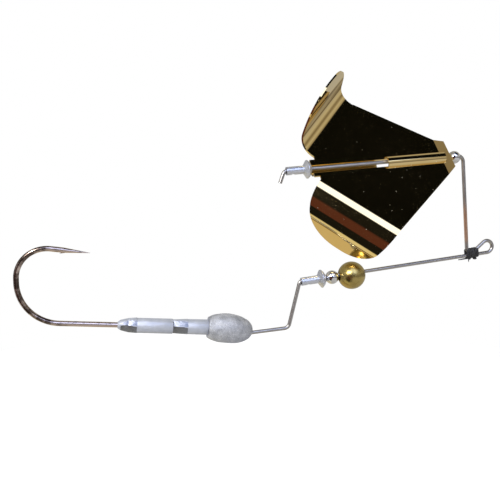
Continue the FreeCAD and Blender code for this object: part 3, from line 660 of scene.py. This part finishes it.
# %% One length of keeper
def keeper_length(mesh, start, stop, first, last):
    """Turned length along -X, from start to stop."""
    middle = Matrix.Translation((-(start + stop) / 2 * MM, 0.0, 0.0))
    facing = middle @ Matrix.Rotation(-math.pi / 2, 4, "Y")
    bmesh.ops.create_cone(
        mesh, cap_ends=True, segments=KEEPER_SIDES, radius1=first * MM, radius2=last * MM,
        depth=(stop - start) * MM, matrix=facing,
    )


def slice_barb(mesh, start, angle, away, slope):
    """Slices a flat at an angle round the shank, which deepens behind its start."""
    turned = math.radians(angle)
    tilt = math.radians(slope)
    out = Vector((0.0, -math.cos(turned), math.sin(turned)))
    direction = out * math.cos(tilt) - FORWARD * math.sin(tilt)
    for face in slice_off(mesh, out * away * MM - FORWARD * start * MM, direction):
        face.material_index = 1


# %% Set the lengths end to end
def make_keeper():
    """Six lengths along the shank; a barb's slices run on from one sliced length to the next."""
    whole = bmesh.new()
    barb_start = None
    for start, stop, first, last, sliced in KEEPER_LENGTHS:
        part = bmesh.new()
        keeper_length(part, start, stop, first, last)
        if not sliced:
            barb_start = None
        elif barb_start is None:
            barb_start = start
        for angle, away, slope in SLICES if sliced else []:
            slice_barb(part, barb_start, angle, away, slope)
        rims = [edge for edge in part.edges if edge.calc_face_angle(0.0) > RIM_ANGLE]
        round_edges(part, rims, KEEPER_RIM, 2)
        smooth(part)
        join_part(whole, part)
    place = Matrix.Translation(HOOK_EYE) @ Matrix.Rotation(SHANK_SLOPE, 4, "Y")
    bmesh.ops.transform(whole, matrix=place, verts=whole.verts[:])
    piece = add_piece(whole, "barbed_keeper", "frame", "keeper_collar", make_keeper_lead())
    piece.data.materials.append(make_cut_lead().material)


make_keeper()

# %% [markdown]
# ## The thread lashing
# Waxed black thread is wound round the arm and the return leg side by side, then tied off under them. A wound
# thread is many turns, each a closed loop round both wires. A loop is two half turns joined by two straight
# runs, so it is a small circle that is spun, extruded and spun again. Two layers that cross at a slight angle
# look hand bound. The knots are lumpy balls, and the trimmed ends are short straight threads.

# %% Sizes of the lashing
THREAD = 0.34 * MM
WIRE = 1.05 * MM
PITCH = 1.2 * MM
EYE_BEND = 1.8 * MM
LASHING_AT = 5.2 * MM
LASHING_LONG = 3.9 * MM
THREAD_SIDES = 8
HALF_TURN_STEPS = 8
# Neighbouring turns are pressed together to this part of the thread's width.
NEST = 0.92
REACH = (WIRE + THREAD) / 2
LOW = -PITCH / 2 - REACH - THREAD
UNDER_TURNS = int(LASHING_LONG / (THREAD * NEST))
OVER_TURNS = 7
print("lashing:", UNDER_TURNS, "turns under", OVER_TURNS)

# %% The lashing's own directions: along the arm, across, and up from the arm
arm_up = Vector((-arm_axis.z, 0.0, arm_axis.x))
lashing_centre = arm_up * (PITCH / 2 - EYE_BEND) - arm_axis * LASHING_AT
lashing_turn = Matrix((arm_axis, across, arm_up)).transposed().to_4x4()
lashing_base = Matrix.Translation(lashing_centre) @ lashing_turn
print("lashing centre, mm:", [round(v / MM, 2) for v in lashing_centre])


# %% One turn of thread
def add_turn(mesh, along, reach, lean, yaw):
    """Closed loop of thread whose centreline stands reach away from both wires' centres."""
    part = bmesh.new()
    start = Matrix.Translation((0.0, reach, -PITCH / 2))
    bmesh.ops.create_circle(part, segments=THREAD_SIDES, radius=THREAD / 2, matrix=start)
    front = part.edges[:]
    for level, rise in ((-PITCH / 2, PITCH), (PITCH / 2, -PITCH)):
        turned = bmesh.ops.spin(
            part, geom=front, cent=(0.0, 0.0, level), axis=FORWARD, dvec=(0.0, 0.0, 0.0),
            angle=-math.pi, steps=HALF_TURN_STEPS, use_merge=False,
        )["geom_last"]
        run = bmesh.ops.extrude_edge_only(part, edges=edges_of(turned))["geom"]
        moved = [item for item in run if isinstance(item, bmesh.types.BMVert)]
        bmesh.ops.translate(part, verts=moved, vec=(0.0, 0.0, rise))
        front = edges_of(run)
    bmesh.ops.remove_doubles(part, verts=part.verts[:], dist=THREAD / 100)
    turned = Matrix.Rotation(lean, 4, "Y") @ Matrix.Rotation(yaw, 4, "Z")
    place = Matrix.Translation((along, 0.0, 0.0)) @ turned
    bmesh.ops.transform(part, matrix=lashing_base @ place, verts=part.verts[:])
    join_part(mesh, part)


# %% Knots and cut ends
KNOT_LUMP = 0.22
KNOT_LUMP_SIZE = 0.35 * MM
END_TAPER = 0.6


def add_knot(mesh, place, size, squash):
    """Lumpy ball that stands for a pulled knot."""
    part = bmesh.new()
    bmesh.ops.create_icosphere(part, subdivisions=3, radius=size)
    for vertex in part.verts:
        vertex.co *= 1.0 + KNOT_LUMP * noise.noise(vertex.co / KNOT_LUMP_SIZE)
    bmesh.ops.scale(part, vec=squash, verts=part.verts[:])
    bmesh.ops.transform(part, matrix=lashing_base @ Matrix.Translation(place), verts=part.verts[:])
    join_part(mesh, part)


def add_cut_end(mesh, start, direction, long, thick):
    """Short straight thread from start, thinner at its cut end."""
    part = bmesh.new()
    bmesh.ops.create_cone(
        part, cap_ends=True, segments=THREAD_SIDES, radius1=thick, radius2=thick * END_TAPER, depth=long,
    )
    turned = direction.to_track_quat("Z", "Y").to_matrix().to_4x4()
    place = Matrix.Translation(start) @ turned @ Matrix.Translation((0.0, 0.0, long / 2))
    bmesh.ops.transform(part, matrix=lashing_base @ place, verts=part.verts[:])
    join_part(mesh, part)


# %% Waxed thread
THREAD_SHADES = ((0.008, 0.008, 0.009), (0.035, 0.035, 0.04))


def make_thread():
    """Nearly black, with fine fibres that catch the light."""
    thread = Finish("black_thread", (0.014, 0.014, 0.016), 0.0, 0.5)
    fibres = thread.noise(0.07, 4.0, 0.65)
    thread.feed(
        Base_Color=thread.tint(fibres, *THREAD_SHADES),
        Roughness=0.38 + 0.3 * fibres,
        Normal=thread.bump(fibres, 0.03 * MM, 0.8),
    )
    return thread


# %% Wind two layers of thread
def wind_under(mesh):
    """Turns side by side, almost square to the wires."""
    for index in range(UNDER_TURNS):
        along = (index / (UNDER_TURNS - 1) - 0.5) * (LASHING_LONG - THREAD)
        reach = REACH + dice.uniform(0.0, 0.05) * MM
        add_turn(mesh, along, reach, dice.uniform(-0.06, 0.06), 0.0)


def wind_over(mesh):
    """Looser turns that lean one way and then the other."""
    for index in range(OVER_TURNS):
        along = dice.uniform(-0.30, 0.30) * LASHING_LONG
        lean = (-1) ** index * dice.uniform(0.25, 0.6)
        reach = REACH + dice.uniform(0.16, 0.26) * MM
        add_turn(mesh, along, reach, lean, dice.uniform(-0.1, 0.1))


# %% Tie off the thread
# A knot: its place along, across and up, its size (all mm) and its squash.
KNOTS = [
    ((1.0, 0.0, LOW / MM - 0.10), 0.50, (1.25, 0.9, 0.8)),
    ((-0.9, -0.1, LOW / MM + 0.05), 0.42, (1.2, 0.9, 0.8)),
    ((0.1, -0.9, -0.2), 0.45, (1.2, 0.7, 1.1)),
]
LONG_ENDS = 5
LONG_END_THICK = 0.21 * MM
SHORT_ENDS = 4
SHORT_END_THICK = 0.12 * MM


def tie_off(mesh):
    """Knots, long ends laid back along the wire and short ends that hang."""
    for place, size, squash in KNOTS:
        add_knot(mesh, Vector(place) * MM, size * MM, squash)
    for _ in range(LONG_ENDS):
        aim = Vector((-1.0, dice.uniform(-0.10, 0.10), dice.uniform(-0.09, 0.02)))
        root = Vector((-1.5, dice.uniform(-0.25, 0.25), LOW / MM + 0.18)) * MM
        add_cut_end(mesh, root, aim, dice.uniform(1.9, 2.9) * MM, LONG_END_THICK)
    for _ in range(SHORT_ENDS):
        aim = Vector((dice.uniform(-0.5, 0.1), dice.uniform(-0.2, 0.2), -1.0))
        root = Vector((-0.9 * MM, 0.0, LOW))
        add_cut_end(mesh, root, aim, dice.uniform(0.7, 1.1) * MM, SHORT_END_THICK)


# %% Make the lashing
lashing_mesh = bmesh.new()
wind_under(lashing_mesh)
wind_over(lashing_mesh)
tie_off(lashing_mesh)
smooth(lashing_mesh)
add_piece(lashing_mesh, "wound_lashing", "frame", "thread_lashing", make_thread())

# %% [markdown]
# ## Camera, floor and light
# The lure hangs over a plain pale floor. The room is white, but what a mirror sees matters more than what
# lights it, so only the mirrored room has bands. They lie round the lower fin's fold line: as the sheet
# bends past it, the flat of the blade looks up at a dark ceiling, and the fin sweeps past a window strip,
# a brown wall and the pale table. Towards the two ends of the fold line the bands give way to level
# streaks of furniture and floor, which is what the upper fin and the round pieces see.

# %% Camera
LENS = 42.34
CAMERA_PLACE = Vector((-0.10817, -0.15627, 0.01820))
CAMERA_AIM = Vector((-0.07304, 0.0, 0.00069))
camera_data = bpy.data.cameras.new("camera")
camera_data.lens = LENS
camera = bpy.data.objects.new("camera", camera_data)
camera.location = CAMERA_PLACE
camera.rotation_mode = "QUATERNION"
camera.rotation_quaternion = (CAMERA_AIM - CAMERA_PLACE).to_track_quat("-Z", "Y")
camera_data.clip_start = 0.01
bpy.context.scene.collection.objects.link(camera)
bpy.context.scene.camera = camera
print("camera distance, mm:", round((CAMERA_AIM - CAMERA_PLACE).length / MM, 1))


# %% Floor
FLOOR_DROP = 0.045
FLOOR_RADIUS = 0.20
FLOOR_CENTRE = -0.07
BLACK = (0.0, 0.0, 0.0)
WHITE = (1.0, 1.0, 1.0)
PAPER_GLOW = (0.55, 0.55, 0.55)
PAPER_SHADES = ((0.60, 0.60, 0.61), (0.64, 0.64, 0.65))
floor_mesh = bmesh.new()
bmesh.ops.create_circle(
    floor_mesh, cap_ends=True, segments=96, radius=FLOOR_RADIUS,
    matrix=Matrix.Translation((FLOOR_CENTRE, 0.0, cad_low.z - FLOOR_DROP)),
)
floor_data = bpy.data.meshes.new("floor")
floor_mesh.to_mesh(floor_data)
floor_mesh.free()
floor = bpy.data.objects.new("floor", floor_data)
bpy.context.scene.collection.objects.link(floor)
paper = Finish("pale_paper", (0.62, 0.62, 0.62), 0.0, 0.8)
seen_directly = paper.node("ShaderNodeLightPath", output="Is Camera Ray")
paper.feed(
    Base_Color=paper.tint(paper.noise(2.0), *PAPER_SHADES),
    Emission_Color=paper.tint(seen_directly, BLACK, PAPER_GLOW),
)
paper.surface.inputs["Emission Strength"].default_value = 1.0
floor_data.materials.append(paper.material)
floor.visible_glossy = False
floor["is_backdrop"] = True
print("floor, mm below the lure:", round(FLOOR_DROP / MM, 1))


# %% Bands round the fold line
TAN_WALL = (0.50, 0.49, 0.44)
PALE_TABLE = (0.72, 0.63, 0.42)
PALE_EDGE = (0.86, 0.84, 0.66)
DARK_EDGE = (0.16, 0.10, 0.05)
CEILING = (0.004, 0.0045, 0.004)
NEAR_BLACK = (0.012, 0.012, 0.012)
BROWN_WALL = (0.11, 0.038, 0.030)
STRIP = (1.8, 2.15, 3.3)
# Bands of the room, each with its upper edge in degrees round the lower fin's fold line, from the way
# that the flat of the blade faces (0) past the way that the fin faces (90).
BANDS = [
    (-66.0, TAN_WALL),
    (-20.0, CEILING),
    (11.0, STRIP),
    (40.0, NEAR_BLACK),
    (75.0, BROWN_WALL),
    (98.0, NEAR_BLACK),
    (122.0, PALE_EDGE),
    (130.0, DARK_EDGE),
    (180.0, PALE_TABLE),
]
BLUR = 1.5


def band_stops():
    """Stops of a ramp whose factor is the angle, from 0 at -180 degrees to 1 at 180."""
    stops = [(0.0, BANDS[0][1])]
    for (edge, colour), (_, following) in zip(BANDS, BANDS[1:]):
        stops.append(((edge - BLUR) / 360 + 0.5, colour))
        stops.append(((edge + BLUR) / 360 + 0.5, following))
    return stops


print("the room has", len(BANDS), "bands")

# %% Streaks beyond the ends of the fold line
# Each has its height, from 0 straight down to 1 straight up, and its colour.
STREAKS = [
    (0.00, (0.52, 0.50, 0.46)),
    (0.40, (0.66, 0.67, 0.70)),
    (0.46, (0.14, 0.13, 0.13)),
    (0.51, (0.40, 0.40, 0.42)),
    (0.55, (0.10, 0.08, 0.06)),
    (0.60, (0.52, 0.53, 0.56)),
    (0.67, (0.60, 0.60, 0.58)),
    (0.71, (0.22, 0.19, 0.14)),
    (0.75, (0.62, 0.61, 0.57)),
    (0.80, (0.30, 0.27, 0.22)),
    (0.84, (0.66, 0.66, 0.62)),
    (0.89, (0.48, 0.47, 0.42)),
    (0.93, (0.24, 0.21, 0.17)),
    (1.00, (0.45, 0.44, 0.40)),
]
# How far a direction lies along the fold line where the bands start and finish giving way to streaks.
ENDS = (0.37, 0.41)
DIFFUSE_LIGHT = 0.7
print("the room has", len(STREAKS), "streaks at each end")


# %% The room that the metal reflects
def make_room():
    """A white room for every ray but the mirrored ones, which see the bands and streaks."""
    world = bpy.data.worlds.new("studio")
    world.use_nodes = True
    world.node_tree.nodes.clear()
    room = Bench(world.node_tree)
    direction = room.node("ShaderNodeTexCoord", output="Generated")
    facing, out, along = (room.dot(direction, axis) for axis in (panel_face, fold_out, fold_line))
    up = room.dot(direction, UP)
    roll = room.maths("ARCTAN2", out, facing)
    bands = room.ramp(roll / (2 * math.pi) + 0.5, band_stops())
    streaks = room.ramp(up * 0.5 + 0.5, STREAKS)
    seen = room.tint(room.span(room.size(along), *ENDS), bands, streaks)
    mirrored = room.node("ShaderNodeLightPath", output="Is Glossy Ray")
    lit = room.node("ShaderNodeLightPath", output="Is Diffuse Ray")
    colour = room.tint(mirrored, WHITE, seen)
    strength = 1.0 - (1.0 - DIFFUSE_LIGHT) * lit
    shine = room.node("ShaderNodeBackground", None, {"Color": colour, "Strength": strength})
    world_output = world.node_tree.nodes.new("ShaderNodeOutputWorld")
    world.node_tree.links.new(shine.socket, world_output.inputs["Surface"])
    bpy.context.scene.world = world


make_room()
print("the room is set")

# %% Softbox on the left
SOFTBOX_PLACE = Vector((-0.30, -0.24, 0.20))
SOFTBOX_SIZE = 0.16
SOFTBOX_WATTS = 1.2


def add_softbox(name, place, size, watts):
    """Round lamp that faces the lure."""
    lamp = bpy.data.lights.new(name, "AREA")
    lamp.shape = "DISK"
    lamp.size = size
    lamp.energy = watts
    box = bpy.data.objects.new(name, lamp)
    box.location = place
    box.rotation_mode = "QUATERNION"
    box.rotation_quaternion = (CAMERA_AIM - place).to_track_quat("-Z", "Y")
    bpy.context.scene.collection.objects.link(box)


add_softbox("left_softbox", SOFTBOX_PLACE, SOFTBOX_SIZE, SOFTBOX_WATTS)
bpy.context.scene.view_settings.view_transform = "Standard"
print("softbox, mm away:", round((CAMERA_AIM - SOFTBOX_PLACE).length / MM))
